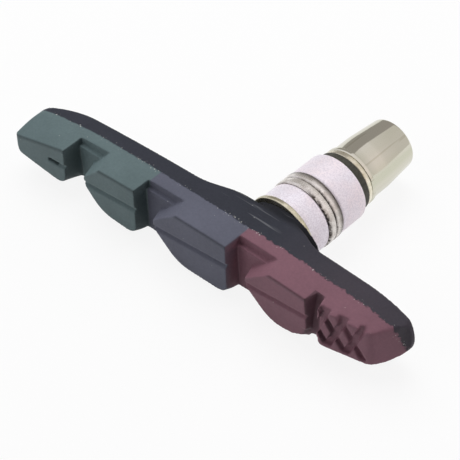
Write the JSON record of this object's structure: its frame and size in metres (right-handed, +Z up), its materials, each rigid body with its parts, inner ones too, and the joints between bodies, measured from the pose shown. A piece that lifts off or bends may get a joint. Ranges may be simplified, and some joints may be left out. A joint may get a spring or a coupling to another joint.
{
  "type": "bicycle rim brake pad",
  "caption": "Boat-shaped bicycle rim brake pad with notched rubber of several compounds on a black back, a threaded stud, spherical washers and a tapered barrel nut.",
  "frame": {"origin": "on the stud's axis, on the boss seat where the first washer lies", "axes": "+X along the pad towards its red end, +Y along the stud away from the braking face, +Z up across the pad"},
  "size_m": [0.0715, 0.0356, 0.0116],
  "materials": {
    "green_rubber": "matte moulded rubber",
    "grey_rubber": "matte moulded rubber",
    "red_rubber": "matte moulded rubber",
    "black_rubber": "matte moulded rubber",
    "plain_steel": "plain",
    "yellow_zinc": "yellowish zinc plate",
    "satin_metal": "fine pearly satin",
    "bright_nickel": "bright plate",
    "dark_spacer": "matte black"
  },
  "bodies": {
    "pad": {"green_compound": "green_rubber", "grey_compound": "grey_rubber", "red_compound": "red_rubber", "backing_compound": "black_rubber", "backing_plate": "plain_steel", "threaded_stud": "plain_steel", "pad_side_flat_washer": "yellow_zinc", "pad_side_convex_washer": "satin_metal", "pad_side_cup_washer": "bright_nickel"},
    "nut_side_washers": {"nut_side_cup_washer": "bright_nickel", "nut_side_convex_washer": "satin_metal", "dark_spacer_washer": "dark_spacer", "nut_seat_washer": "yellow_zinc"},
    "nut": {"barrel_nut": "bright_nickel"}
  },
  "joints": [
    {"name": "nut_travel", "type": "slide", "parent": "pad", "child": "nut_side_washers", "axis": [0, 1, 0], "range_m": [0, 0.0055]},
    {"name": "nut_turn", "type": "hinge", "parent": "nut_side_washers", "child": "nut", "pos_m": [0, 0.015, 0], "axis": [0, 1, 0], "range_deg": [0, 1980]}
  ],
  "couplings": [
    {"joint": "nut_turn", "follows": "nut_travel", "rad_per_m": 6283.2}
  ]
}
